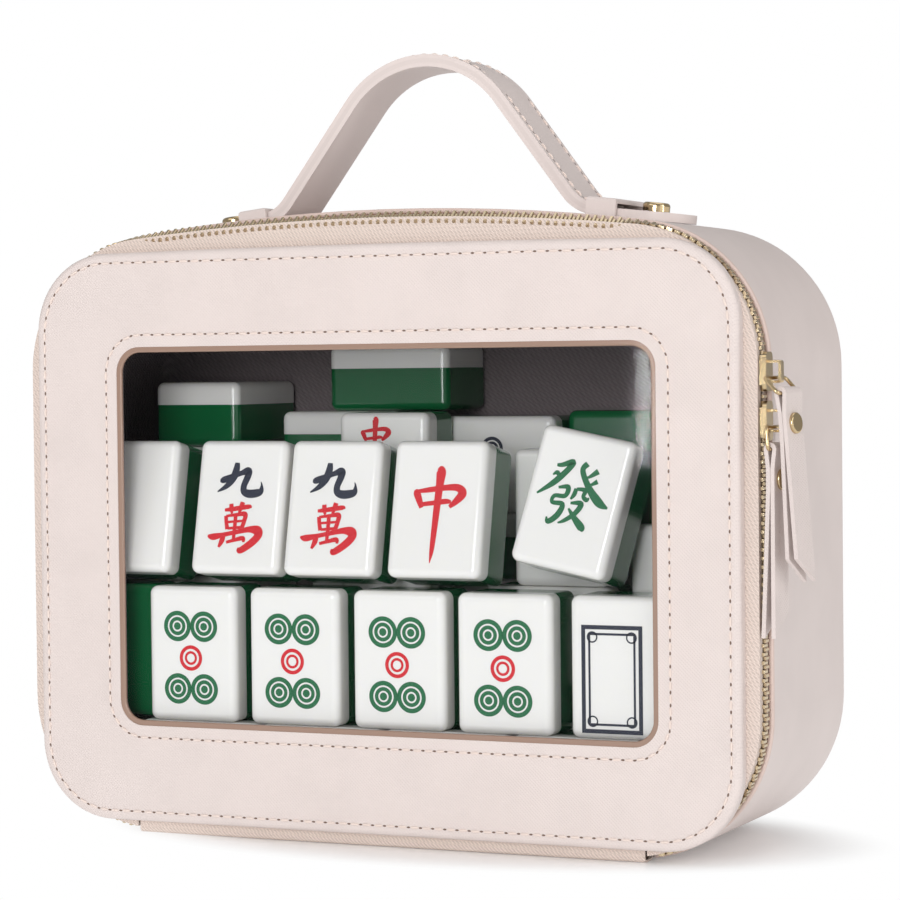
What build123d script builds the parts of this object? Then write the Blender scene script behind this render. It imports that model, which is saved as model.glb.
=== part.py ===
"""Hard-sided zip-around case for a mahjong set, with a window in its lid.

Millimetres. X runs across the case, Y from the lid (front, -Y) to the back, Z up.
The origin is on the table, under the middle of the case.
"""

from build123d import *
from math import asin, atan2, cos, degrees, radians, sin, sqrt, tan
import os

# ---------------------------------------------------------------- driving dimensions

# Overall depth, from the lid's front face to the back of the case
case_depth = 80.0

# Lid panel
panel_side_inset = 5.1
panel_height = 157.0
panel_corner = 21.5
panel_crown = 1.0
panel_lift = 3.7
panel_skin_thickness = 0.9
panel_board_thickness = 2.2
panel_lining_thickness = 0.7
panel_edge_round = 1.6

# Window in the lid
window_width = 157.4
window_offset = 1.7
window_height = 104.0
window_corner = 7.0
window_sheet_thickness = 0.6
window_sheet_overlap = 5.0
binding_width = 1.5
binding_thickness = 0.7

# Body of the case
body_width = 215.2
body_height = 170.2
body_corner = 38.0
body_crown = 10.5
body_skin_thickness = 0.9
back_foam_thickness = 0.6
body_board_thickness = 1.4
body_lining_thickness = 0.5
back_edge_round = 8.0
piping_radius = 0.65
seam_depth = 6.0

# Zipper
chain_side_inset = 1.7
chain_bottom = 1.8
chain_top_inset = 2.8
chain_corner = 36.0
chain_crown = 8.0
tape_thickness = 0.6
tape_flange = 8.0
tooth_pitch = 2.2
tooth_width = 0.9
tooth_thickness = 2.2
tooth_length = 2.6
tooth_overlap = 0.7
tooth_grip = 0.8
tooth_slot_clearance = 0.05
tooth_edge = 0.15

# Folded hinge strip along the bottom, between the two ends of the zipper
strip_left = -73.5
strip_right = 75.0
strip_drop = 0.1
strip_height = 9.0
strip_fold = 1.0
strip_rise_start = 2.6
strip_rise_end = 1.0
strip_end_gap = 0.6

# Sliders and pulls
upper_slider_height = 125.8
slider_spacing = 12.4
slider_length = 10.0
slider_plate = 1.0
slider_clearance = 0.2
slider_side_gap = 0.1
slider_room = 0.1
slider_flange = 0.8
slider_tape_gap = 0.2
slider_corner = 1.6
neck_width = 1.6
neck_length = 2.0
bail_length = 5.8
bail_height = 3.4
bail_width = 2.4
bail_wall = 0.7
ring_wire = 1.0
ring_width = 10.4
ring_height = 5.6
ring_corner = 1.1
ring_seat_gap = 0.15
tab_width = 8.0
tab_length = 47.5
tab_cut = 6.0
tab_layer = 1.1
tab_wire_gap = 0.12
tab_layer_gap = 0.1
tab_flare = 1.6
rivet_drop = 7.6
rivet_diameter = 5.4
rivet_post = 2.4
rivet_cap = 0.9

upper_pull_yaw = 13.0
upper_ring_lean = 45.0
upper_tab_lean = 5.0
lower_pull_yaw = 8.0
lower_ring_lean = 5.0
lower_tab_lean = 0.0

# Handle
handle_setback = 46.5
handle_rise = 42.0
strap_width = 20.0
strap_skin = 1.1
strap_core = 1.2
strap_top_radius = 28.0
strap_foot_radius = 12.0
strap_bend_inset = 5.6
foot_half_span = 63.8
strap_joint_inset = 13.2
tab_end_reach = 11.2
handle_tab_thickness = 2.4
slot_travel = 10.0
slot_clearance = 0.3
keeper_inset = 11.6
keeper_width = 8.5
keeper_wall = 1.3
keeper_side_gap = 0.4
keeper_top_gap = 0.3
keeper_round = 0.9
tab_seat = 0.05
stud_post = 3.8
stud_head = 7.4
stud_head_height = 2.4
stud_head_gap = 0.2
stud_hole_clearance = 0.1
washer_diameter = 12.0
washer_thickness = 1.0
washer_seat_gap = 0.05
screw_shank = 2.2
screw_head = 6.4
screw_head_height = 1.1
screw_bore_clearance = 0.1
screw_bore_depth = 6.0

# Mahjong tiles
tile_width = 27.0
tile_height = 37.0
tile_depth = 18.5
tile_face_layer = 6.5
tile_edge_round = 2.2
tile_gap = 0.1
tile_floor_gap = 0.3
front_file = 4.2
middle_file = 30.35
back_file_clearance = 0.25
back_floor_clearance = 1.4
row_lean = 12.0
dragon_turn = 11.5

# ---------------------------------------------------------------- derived places

panel_width = body_width - 2 * panel_side_inset
chain_width = body_width - 2 * chain_side_inset
chain_top = body_height - chain_top_inset
lower_slider_height = upper_slider_height - slider_spacing
BACK = (0, 1, 0)
FORWARD = (0, -1, 0)
front = -case_depth / 2
panel_thickness = panel_skin_thickness + panel_board_thickness + panel_lining_thickness
back_y = case_depth / 2
panel_back = front + panel_thickness
tape_back = panel_back + tape_thickness
tooth_reach = tooth_length - tooth_overlap
tape_edge = tooth_reach - tooth_grip
slider_half_width = tooth_reach + slider_side_gap + slider_flange
chain_y = tape_back + slider_room + slider_half_width
mouth_y = chain_y + slider_half_width + slider_room + 2 * piping_radius
strap_thickness = 2 * strap_skin + strap_core

panel_outline = (panel_width, panel_lift, panel_lift + panel_height, panel_corner, panel_crown)
chain_outline = (chain_width, chain_bottom, chain_top, chain_corner, chain_crown)
body_outline = (body_width, 0.0, body_height, body_corner, body_crown)


def section(outline, y, inset=0.0):
    """Face across the case at depth y: straight sides, round corners and a gently crowned top."""
    width, bottom, top, corner, crown = outline
    half = width / 2
    with BuildSketch(Plane.XZ.offset(-y)) as face:
        with BuildLine():
            Line((-half, top - crown), (-half, bottom))
            Line((-half, bottom), (half, bottom))
            Line((half, bottom), (half, top - crown))
            ThreePointArc((half, top - crown), (0, top), (-half, top - crown))
        make_face()
        fillet(face.vertices(), corner)
        if inset:
            offset(amount=-inset, mode=Mode.REPLACE)
    return face.sketch


def window_section(y, grow=0.0):
    """Rounded rectangle of the window at depth y, grown all round."""
    with BuildSketch(Plane.XZ.offset(-y)) as face:
        with Locations((window_offset, panel_lift + panel_height / 2)):
            RectangleRounded(window_width + 2 * grow, window_height + 2 * grow, window_corner + grow)
    return face.sketch


def sheet(outline_face, thickness, opening=None):
    """Solid that fills a face and runs back by a thickness, round an opening."""
    with BuildPart(mode=Mode.PRIVATE) as piece:
        add(outline_face)
        extrude(amount=thickness, dir=BACK)
        if opening:
            add(opening)
            extrude(amount=thickness, dir=BACK, mode=Mode.SUBTRACT)
    return piece.part


def crown_radius(outline):
    """Radius of an outline's crowned top."""
    half, crown = outline[0] / 2, outline[4]
    return (half**2 + crown**2) / (2 * crown)


def crown_height(outline, x, inset=0.0):
    """Height of an outline's crowned top at x."""
    radius = crown_radius(outline) - inset
    return outline[2] - inset - radius + sqrt(radius**2 - x**2)


def finish(builder, label):
    """Names a finished piece and writes its STEP file."""
    builder.part.label = label
    export_step(builder.part, f"parts/{label}.step")


os.makedirs("parts", exist_ok=True)

# ---------------------------------------------------------------- handle places

foot_tilt = degrees(asin(foot_half_span / crown_radius(body_outline)))
foot_z = crown_height(body_outline, foot_half_span)
wall_at_foot = foot_z - crown_height(
    chain_outline, foot_half_span, tape_thickness / 2 + body_board_thickness + body_lining_thickness
)


def foot_plane(side, height=0.0):
    """Plane on the body's top at one foot of the handle: X points outward along the top, Z away from it."""
    tilt = radians(foot_tilt)
    plane = Plane(
        origin=(side * foot_half_span, front + handle_setback, foot_z),
        x_dir=(side * cos(tilt), 0, -sin(tilt)),
        z_dir=(side * sin(tilt), 0, cos(tilt)),
    )
    return plane.offset(height)


# ---------------------------------------------------------------- body of the case


def tub(outline, inset, y_mouth, y_back, edge_round):
    """Solid block that fills an outline from y_mouth to y_back, with its back edge rounded."""
    with BuildPart(mode=Mode.PRIVATE) as block:
        add(section(outline, y_mouth, inset))
        extrude(amount=y_back - y_mouth, dir=BACK)
        fillet(block.faces().sort_by(Axis.Y)[-1].edges(), edge_round)
    return block.part


def stud_holes():
    """Holes for the posts of the handle's two studs, through the body's top wall."""
    for side in (-1, 1):
        with BuildSketch(foot_plane(side)) as hole:
            Circle(stud_post / 2 + stud_hole_clearance)
        extrude(hole.sketch, amount=wall_at_foot + stud_head, both=True, mode=Mode.SUBTRACT)


def seam_box(y_low, y_high, grow):
    """Room that the hinge strip takes at the bottom of the zipper tapes."""
    with BuildPart(mode=Mode.PRIVATE) as room:
        with Locations(((strip_left + strip_right) / 2, y_low, -strip_height)):
            Box(
                strip_right - strip_left + 2 * grow,
                y_high - y_low,
                2 * strip_height + panel_lift + tape_flange,
                align=(Align.CENTER, Align.MIN, Align.MIN),
            )
    return room.part


skin_back = back_y - body_skin_thickness
foam_back = skin_back - back_foam_thickness
board_back = foam_back - body_board_thickness
lining_back = board_back - body_lining_thickness
board_inset = tape_thickness / 2
lining_inset = board_inset + body_board_thickness
inner_inset = lining_inset + body_lining_thickness
foam_y = mouth_y + seam_depth
back_file_end = lining_back - front - back_file_clearance
back_floor_end = lining_back - front - back_floor_clearance
board_round = back_edge_round - body_skin_thickness - back_foam_thickness

with BuildPart() as body_skin:
    add(tub(body_outline, 0, mouth_y, back_y, back_edge_round))
    add(
        tub(body_outline, body_skin_thickness, mouth_y, skin_back, back_edge_round - body_skin_thickness),
        mode=Mode.SUBTRACT,
    )
    stud_holes()
finish(body_skin, "body_skin")

with BuildPart() as body_foam:
    add(tub(body_outline, body_skin_thickness, foam_y, skin_back, back_edge_round - body_skin_thickness))
    add(tub(chain_outline, board_inset, foam_y, foam_back, board_round), mode=Mode.SUBTRACT)
    stud_holes()
finish(body_foam, "body_foam")

with BuildPart() as body_board:
    add(tub(chain_outline, board_inset, mouth_y, foam_back, board_round))
    add(
        tub(chain_outline, lining_inset, mouth_y, board_back, board_round - body_board_thickness),
        mode=Mode.SUBTRACT,
    )
    stud_holes()
finish(body_board, "body_board")

with BuildPart() as body_lining:
    add(tub(chain_outline, lining_inset, mouth_y, board_back, board_round - body_board_thickness))
    add(
        tub(
            chain_outline,
            inner_inset,
            mouth_y,
            lining_back,
            board_round - body_board_thickness - body_lining_thickness,
        ),
        mode=Mode.SUBTRACT,
    )
    stud_holes()
finish(body_lining, "body_lining")

# Rounded piping around the mouth, with its flange sewn in between the skin and the zipper tape
with BuildPart() as body_piping:
    add(
        sheet(
            section(body_outline, mouth_y - 2 * piping_radius),
            2 * piping_radius,
            section(body_outline, mouth_y - 2 * piping_radius, 2 * piping_radius),
        )
    )
    fillet(body_piping.faces().sort_by(Axis.Y)[0].edges(), piping_radius * 0.9)
    add(
        sheet(
            section(body_outline, mouth_y, body_skin_thickness),
            seam_depth,
            section(chain_outline, mouth_y, -tape_thickness / 2),
        )
    )
    add(seam_box(mouth_y - 2 * piping_radius, mouth_y + seam_depth, strip_end_gap), mode=Mode.SUBTRACT)
finish(body_piping, "body_piping")

# ---------------------------------------------------------------- lid panel

board_y = front + panel_skin_thickness
panel_lining_y = board_y + panel_board_thickness
sheet_y = board_y


# The skin covers the panel's front and is turned over its edges
with BuildPart() as panel_skin:
    add(sheet(section(panel_outline, front), panel_thickness, window_section(front)))
    add(
        sheet(
            section(panel_outline, board_y, panel_skin_thickness), panel_thickness - panel_skin_thickness
        ),
        mode=Mode.SUBTRACT,
    )
    rim = panel_skin.faces().sort_by(Axis.Y)[0]
    fillet(rim.outer_wire().edges(), panel_edge_round)
finish(panel_skin, "panel_skin")

with BuildPart() as panel_board:
    add(
        sheet(
            section(panel_outline, board_y, panel_skin_thickness),
            panel_board_thickness,
            window_section(board_y),
        )
    )
    add(
        sheet(window_section(sheet_y, window_sheet_overlap), window_sheet_thickness),
        mode=Mode.SUBTRACT,
    )
finish(panel_board, "panel_board")

with BuildPart() as panel_lining:
    add(
        sheet(
            section(panel_outline, panel_lining_y, panel_skin_thickness),
            panel_lining_thickness,
            window_section(panel_lining_y),
        )
    )
finish(panel_lining, "panel_lining")

with BuildPart() as window_sheet:
    add(sheet(window_section(sheet_y, window_sheet_overlap), window_sheet_thickness))
finish(window_sheet, "window_sheet")

# Binding that lines the edge of the window opening, in front of the sheet
with BuildPart() as window_binding:
    add(
        sheet(
            window_section(sheet_y - binding_thickness),
            binding_thickness,
            window_section(sheet_y - binding_thickness, -binding_width),
        )
    )
    fillet(window_binding.faces().sort_by(Axis.Y)[0].inner_wires()[0].edges(), binding_thickness * 0.6)
finish(window_binding, "window_binding")

# ---------------------------------------------------------------- zipper


def tape_tube(y_low, y_high):
    """Straight run of zipper tape that follows the chain's outline."""
    return sheet(
        section(chain_outline, y_low, -tape_thickness / 2),
        y_high - y_low,
        section(chain_outline, y_low, tape_thickness / 2),
    )


# The lid's tape lies behind the panel, stands out past its edge and turns back to the teeth
with BuildPart() as front_tape:
    add(
        sheet(
            section(chain_outline, panel_back, -tape_thickness / 2),
            tape_thickness,
            section(panel_outline, panel_back, tape_flange),
        )
    )
    add(tape_tube(tape_back, chain_y - tape_edge))
    add(seam_box(panel_back, chain_y, strip_end_gap), mode=Mode.SUBTRACT)
finish(front_tape, "front_tape")

with BuildPart() as rear_tape:
    add(tape_tube(chain_y + tape_edge, mouth_y + seam_depth))
    add(seam_box(chain_y, mouth_y + seam_depth, strip_end_gap), mode=Mode.SUBTRACT)
finish(rear_tape, "rear_tape")

# One tooth of each row. X runs along the chain, Y through the tape, Z towards the back.
slot_thickness = tape_thickness + 2 * tooth_slot_clearance


def tooth(side):
    """Tooth clamped on the edge of its tape: the lid's row for side -1, the body's row for side 1."""
    with BuildPart(mode=Mode.PRIVATE) as one:
        with BuildSketch(Plane.YZ):
            with Locations((0, side * (tooth_length / 2 - tooth_overlap))):
                Rectangle(tooth_thickness, tooth_length)
            with Locations((0, side * (tooth_reach - tooth_grip / 2))):
                Rectangle(slot_thickness, tooth_grip, mode=Mode.SUBTRACT)
        extrude(amount=tooth_width / 2, both=True)
        chamfer(one.edges().filter_by(Axis.Z).group_by(Axis.Y)[0], tooth_edge)
        chamfer(one.edges().filter_by(Axis.Z).group_by(Axis.Y)[-1], tooth_edge)
    return one.part


def chain_places(shift):
    """Places of one row of teeth round the chain, without the hinge strip and the two slider necks."""
    path = section(chain_outline, chain_y).wires()[0]
    count = int(path.length / tooth_pitch)
    places = []
    for k in range(count):
        share = (k + shift) / count
        point = path.position_at(share)
        over_strip = strip_left - tooth_pitch < point.X < strip_right + tooth_pitch
        on_strip = point.Z < chain_corner / 2 and over_strip
        on_neck = point.X > 0 and any(abs(point.Z - z) < neck_room for z in neck_heights)
        if not on_strip and not on_neck:
            along = path.tangent_at(share)
            places.append(Plane(origin=point, x_dir=along, z_dir=BACK).location)
    return places


def neck_height(slider_height, nose):
    """Height of a slider's neck, at the end that faces the other slider."""
    return slider_height + nose * (slider_length - neck_length) / 2


neck_heights = (neck_height(upper_slider_height, -1), neck_height(lower_slider_height, 1))
neck_room = (neck_length + tooth_width) / 2 + slider_clearance

with BuildPart() as front_teeth:
    with Locations(*chain_places(0)):
        add(tooth(-1))
finish(front_teeth, "front_teeth")

with BuildPart() as rear_teeth:
    with Locations(*chain_places(0.5)):
        add(tooth(1))
finish(rear_teeth, "rear_teeth")

# ---------------------------------------------------------------- hinge strip

strip_y = panel_back + tape_thickness / 2
strip_low = strip_drop + tape_thickness / 2

with BuildPart() as hinge_strip:
    with BuildSketch(Plane.YZ.offset(strip_left)):
        with BuildLine():
            FilletPolyline(
                (strip_y, panel_lift + strip_height),
                (strip_y, strip_low),
                (mouth_y - strip_rise_start, strip_low),
                (mouth_y - strip_rise_end, chain_bottom),
                (mouth_y + seam_depth, chain_bottom),
                radius=(strip_fold, strip_fold, strip_fold),
            )
        trace(line_width=tape_thickness)
    extrude(amount=strip_right - strip_left)
finish(hinge_strip, "hinge_strip")

# ---------------------------------------------------------------- sliders and pulls

chain_x = chain_width / 2
plate_inside = tooth_thickness / 2 + slider_clearance
plate_face = chain_x + plate_inside + slider_plate
flange_edge = tape_thickness / 2 + slider_tape_gap
slider_width = 2 * slider_half_width

# Name, height on the chain, direction of the nose, yaw of the pull, leans of the ring and the tab, tip side
SLIDERS = (
    ("upper", upper_slider_height, -1, upper_pull_yaw, upper_ring_lean, upper_tab_lean, 1),
    ("lower", lower_slider_height, 1, lower_pull_yaw, lower_ring_lean, lower_tab_lean, -1),
)


def outward(yaw, lean):
    """Outward normal of a ring or tab that is turned by yaw about the vertical and leans out by lean."""
    turn, tip = radians(yaw), radians(lean)
    return Vector(cos(turn) * cos(tip), -sin(turn) * cos(tip), sin(tip))


def downward(yaw, lean):
    """Direction in which such a ring or tab hangs."""
    turn, tip = radians(yaw), radians(lean)
    return Vector(cos(turn) * sin(tip), -sin(turn) * sin(tip), -cos(tip))


def across(yaw):
    """Direction of the ring's bars, across the tab."""
    turn = radians(yaw)
    return Vector(sin(turn), cos(turn), 0)


def bail_pin(height):
    """Centre of the ring's upper bar in the bail of a slider."""
    rest = height - bail_length / 2 + bail_wall + ring_wire / 2 + ring_seat_gap
    return Vector(plate_face + (bail_height - bail_wall) / 2, chain_y, rest)


for name, height, nose, yaw, ring_lean, tab_lean, tip_side in SLIDERS:
    upper_bar = bail_pin(height)
    lower_bar = upper_bar + downward(yaw, ring_lean) * ring_height

    with BuildPart() as slider:
        for side in (-1, 1):
            with BuildSketch(Plane.YZ.offset(chain_x + side * plate_inside)):
                with Locations((chain_y, height)):
                    RectangleRounded(slider_width, slider_length, slider_corner)
            extrude(amount=side * slider_plate)
            with BuildSketch(Plane.YZ.offset(chain_x + side * flange_edge)):
                with Locations(
                    (chain_y - slider_half_width + slider_flange / 2, height),
                    (chain_y + slider_half_width - slider_flange / 2, height),
                ):
                    Rectangle(slider_flange, slider_length - 2 * slider_corner)
            extrude(amount=side * (plate_inside - flange_edge + slider_plate / 2))
        with BuildSketch(Plane.YZ.offset(chain_x)):
            with Locations((chain_y, neck_height(height, nose))):
                Rectangle(neck_width, neck_length)
        extrude(amount=plate_inside + slider_plate / 2, both=True)
        with BuildSketch(Plane.XZ.offset(-chain_y)) as bail:
            with Locations((plate_face, height)):
                Rectangle(2 * bail_height, bail_length)
                fillet(bail.vertices(), bail_wall)
                Rectangle(2 * (bail_height - bail_wall), bail_length - 2 * bail_wall, mode=Mode.SUBTRACT)
            with Locations((chain_x, height)):
                Rectangle(
                    2 * (plate_face - chain_x), bail_length + slider_length, mode=Mode.SUBTRACT
                )
            split(bisect_by=Plane.YZ.offset(plate_face))
        extrude(amount=bail_width / 2, both=True)
    finish(slider, f"{name}_slider")

    ring_plane = Plane(
        origin=(upper_bar + lower_bar) / 2, x_dir=across(yaw), z_dir=outward(yaw, ring_lean)
    )
    with BuildPart() as ring:
        with BuildSketch(ring_plane, mode=Mode.PRIVATE) as loop:
            RectangleRounded(ring_width, ring_height, ring_corner)
        path = loop.sketch.wires()[0]
        with BuildSketch(Plane(origin=path @ 0, z_dir=path % 0)):
            Circle(ring_wire / 2)
        sweep(path=path)
    finish(ring, f"{name}_ring")

    loop_inside = ring_wire / 2 + tab_wire_gap
    loop_outside = loop_inside + tab_layer
    seam = tab_layer_gap / 2
    closed = rivet_drop - rivet_diameter / 2
    parted = rivet_drop + rivet_diameter / 2
    face_plane = Plane(origin=lower_bar, x_dir=across(yaw), z_dir=outward(yaw, tab_lean))
    with BuildPart() as pull_tab:
        with BuildSketch(Plane(origin=lower_bar, x_dir=outward(yaw, tab_lean), z_dir=across(yaw))):
            with BuildLine():
                Polyline(
                    (loop_outside, 0),
                    (seam + tab_layer, closed),
                    (seam + tab_layer, tab_length),
                    (seam, tab_length),
                    (seam, closed),
                    (loop_inside, 0),
                )
                ThreePointArc((loop_inside, 0), (0, -loop_inside), (-loop_inside, 0))
                Polyline(
                    (-loop_inside, 0),
                    (-seam, closed),
                    (-seam, parted),
                    (-seam - tab_flare, tab_length),
                    (-seam - tab_flare - tab_layer, tab_length),
                    (-seam - tab_layer, parted),
                    (-seam - tab_layer, closed),
                    (-loop_outside, 0),
                )
                ThreePointArc((-loop_outside, 0), (0, -loop_outside), (loop_outside, 0))
            make_face()
        extrude(amount=tab_width / 2, both=True)
        with BuildSketch(face_plane):
            with BuildLine():
                Polyline(
                    (-tip_side * tab_width, -tab_length + 1.5 * tab_cut),
                    (tip_side * tab_width, -tab_length - 0.5 * tab_cut),
                    (tip_side * tab_width, -2 * tab_length),
                    (-tip_side * tab_width, -2 * tab_length),
                    close=True,
                )
            make_face()
        extrude(amount=tab_width, both=True, mode=Mode.SUBTRACT)
        with BuildSketch(face_plane):
            with Locations((0, -rivet_drop)):
                Circle(rivet_post / 2)
        extrude(amount=tab_width, both=True, mode=Mode.SUBTRACT)
    finish(pull_tab, f"{name}_pull_tab")

    with BuildPart() as rivet:
        with BuildSketch(face_plane):
            with Locations((0, -rivet_drop)):
                Circle(rivet_post / 2)
        extrude(amount=seam + tab_layer, both=True)
        for side in (-1, 1):
            with BuildSketch(face_plane.offset(side * (seam + tab_layer))):
                with Locations((0, -rivet_drop)):
                    Circle(rivet_diameter / 2)
            extrude(amount=side * rivet_cap)
        rims = rivet.edges().filter_by(GeomType.CIRCLE).sort_by(lambda e: e.center().dot(face_plane.z_dir))
        fillet((rims[0], rims[-1]), rivet_cap * 0.6)
    finish(rivet, f"{name}_pull_rivet")

# ---------------------------------------------------------------- handle

keeper_opening = strap_thickness + keeper_top_gap
washer_drop = wall_at_foot + washer_diameter / 2 * sin(radians(foot_tilt)) + washer_seat_gap
post_length = washer_drop + washer_thickness

for name, side in (("left", -1), ("right", 1)):
    with BuildPart() as keeper:
        with BuildSketch(foot_plane(side)):
            with Locations((-keeper_inset, 0)):
                Rectangle(keeper_width, strap_width + 2 * (keeper_side_gap + keeper_wall))
        extrude(amount=keeper_opening + keeper_wall)
        fillet(keeper.faces().sort_by(Axis.Z)[-1].edges(), keeper_round)
        with BuildSketch(foot_plane(side)):
            with Locations((-keeper_inset, 0)):
                Rectangle(keeper_width, strap_width + 2 * keeper_side_gap)
        extrude(amount=keeper_opening, mode=Mode.SUBTRACT)
    finish(keeper, f"{name}_keeper")

    with BuildPart() as stud:
        with BuildSketch(foot_plane(side, -post_length)):
            Circle(stud_post / 2)
        extrude(amount=post_length + tab_seat + handle_tab_thickness + stud_head_gap)
        with BuildSketch(foot_plane(side, tab_seat + handle_tab_thickness + stud_head_gap)):
            Circle(stud_head / 2)
        extrude(amount=stud_head_height)
        fillet(stud.faces().sort_by(Axis.Z)[-1].edges(), stud_head_height * 0.4)
        with BuildSketch(foot_plane(side, -post_length)):
            Circle(screw_shank / 2 + screw_bore_clearance)
        extrude(amount=screw_bore_depth, mode=Mode.SUBTRACT)
    finish(stud, f"{name}_stud")

    with BuildPart() as handle_tab:
        with BuildSketch(foot_plane(side, tab_seat)):
            with Locations(((tab_end_reach - strap_width / 2 - strap_joint_inset) / 2, 0)):
                Rectangle(tab_end_reach - strap_width / 2 + strap_joint_inset, strap_width)
            with Locations((tab_end_reach - strap_width / 2, 0)):
                Circle(strap_width / 2)
            with Locations((-slot_travel / 2, 0)):
                SlotCenterToCenter(slot_travel, stud_post + 2 * slot_clearance, mode=Mode.SUBTRACT)
        extrude(amount=handle_tab_thickness)
    finish(handle_tab, f"{name}_handle_tab")

with BuildPart() as stud_washers:
    for side in (-1, 1):
        with BuildSketch(foot_plane(side, -post_length)):
            Circle(washer_diameter / 2)
            Circle(stud_post / 2 + stud_hole_clearance, mode=Mode.SUBTRACT)
        extrude(amount=washer_thickness)
finish(stud_washers, "stud_washers")

with BuildPart() as stud_screws:
    for side in (-1, 1):
        with BuildSketch(foot_plane(side, -post_length)):
            Circle(screw_head / 2)
        extrude(amount=-screw_head_height)
        with BuildSketch(foot_plane(side, -post_length)):
            Circle(screw_shank / 2)
        extrude(amount=screw_bore_depth - screw_bore_clearance)
finish(stud_screws, "stud_screws")

# The arched strap: its centre line runs from one foot up a straight leg, over a round top and down again
base = radians(foot_tilt)
foot_line = foot_plane(1).from_local_coords(
    Vector(-strap_joint_inset, 0, tab_seat + strap_thickness / 2)
)
bend = foot_line + Vector(-cos(base), 0, sin(base)) * strap_bend_inset
rise = body_height + handle_rise - bend.Z
leg = atan2(rise - strap_top_radius, bend.X) + asin(
    strap_top_radius / sqrt(bend.X**2 + (rise - strap_top_radius) ** 2)
)
apex_z = bend.Z + bend.X * tan(leg)


def strap_layer(low, high):
    """Layer of the strap between two offsets from its centre line."""
    middle = (low + high) / 2
    start = (foot_line.X + middle * sin(base), foot_line.Z + middle * cos(base))
    spread = middle / (1 + cos(leg - base))
    turn = (bend.X + spread * (sin(base) + sin(leg)), bend.Z + spread * (cos(base) + cos(leg)))
    with BuildPart(mode=Mode.PRIVATE) as layer:
        with BuildSketch(Plane.XZ.offset(-front - handle_setback)):
            with BuildLine():
                FilletPolyline(
                    (-start[0], start[1]),
                    (-turn[0], turn[1]),
                    (0, apex_z + middle / cos(leg)),
                    turn,
                    start,
                    radius=(
                        strap_foot_radius - middle,
                        strap_top_radius + middle,
                        strap_foot_radius - middle,
                    ),
                )
            trace(line_width=high - low)
        extrude(amount=strap_width / 2, both=True)
    return layer.part


with BuildPart() as handle_strap:
    add(strap_layer(strap_core / 2, strap_thickness / 2))
finish(handle_strap, "handle_strap")

with BuildPart() as handle_core:
    add(strap_layer(-strap_core / 2, strap_core / 2))
finish(handle_core, "handle_core")

with BuildPart() as handle_lining:
    add(strap_layer(-strap_thickness / 2, -strap_core / 2))
finish(handle_lining, "handle_lining")

# ---------------------------------------------------------------- mahjong tiles

# Each way of laying a tile: its size along X, Y and Z, and the turn from a tile that stands facing the lid
LAYINGS = {
    "upright": ((tile_width, tile_depth, tile_height), Location((0, 0, 0), (0, 0, 0))),
    "reversed": ((tile_width, tile_depth, tile_height), Location((0, 0, 0), (0, 0, 180))),
    "sideways": ((tile_height, tile_depth, tile_width), Location((0, 0, 0), (0, 90, 0))),
    "flat": ((tile_width, tile_height, tile_depth), Location((0, 0, 0), (-90, 0, 0))),
    "lying": (
        (tile_height, tile_width, tile_depth),
        Location((0, 0, 0), (0, 0, 90)) * Location((0, 0, 0), (-90, 0, 0)),
    ),
    "edge": (
        (tile_depth, tile_height, tile_width),
        Location((0, 0, 0), (0, 90, 0)) * Location((0, 0, 0), (-90, 0, 0)),
    ),
}
floor_z = chain_bottom + inner_inset + tile_floor_gap


def stack(y_from, y_side, *tiles, base_z=floor_z):
    """Places of tiles piled up from base_z, each a laying and an x; y_side 1 lines up their fronts."""
    places = []
    for laying, x in tiles:
        (_, deep, high), turn = LAYINGS[laying]
        places.append(Location((x, front + y_from + y_side * deep / 2, base_z + high / 2)) * turn)
        base_z += high + tile_gap
    return places


def row(y_from, base_z, laying, *centres):
    """Places of tiles side by side at one height, with their fronts lined up."""
    return [place for x in centres for place in stack(y_from, 1, (laying, x), base_z=base_z)]


def leaning(x, base_z, turn=0.0):
    """Place of a tile that stands on its back edge and leans back, turned in its own face."""
    edge = Location((x, front + front_file + tile_depth, base_z), (-row_lean, 0, 0))
    return edge * Location((0, -tile_depth / 2, tile_height / 2), (0, turn, 0))


standing = tile_height + tile_gap
on_edge = tile_width + tile_gap
laid = tile_depth + tile_gap
first_row_z = floor_z + on_edge
second_row_z = first_row_z + standing
turn_angle = radians(dragon_turn)
turned_drop = tile_width / 2 * sin(turn_angle) - tile_height / 2 * (1 - cos(turn_angle))

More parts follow.
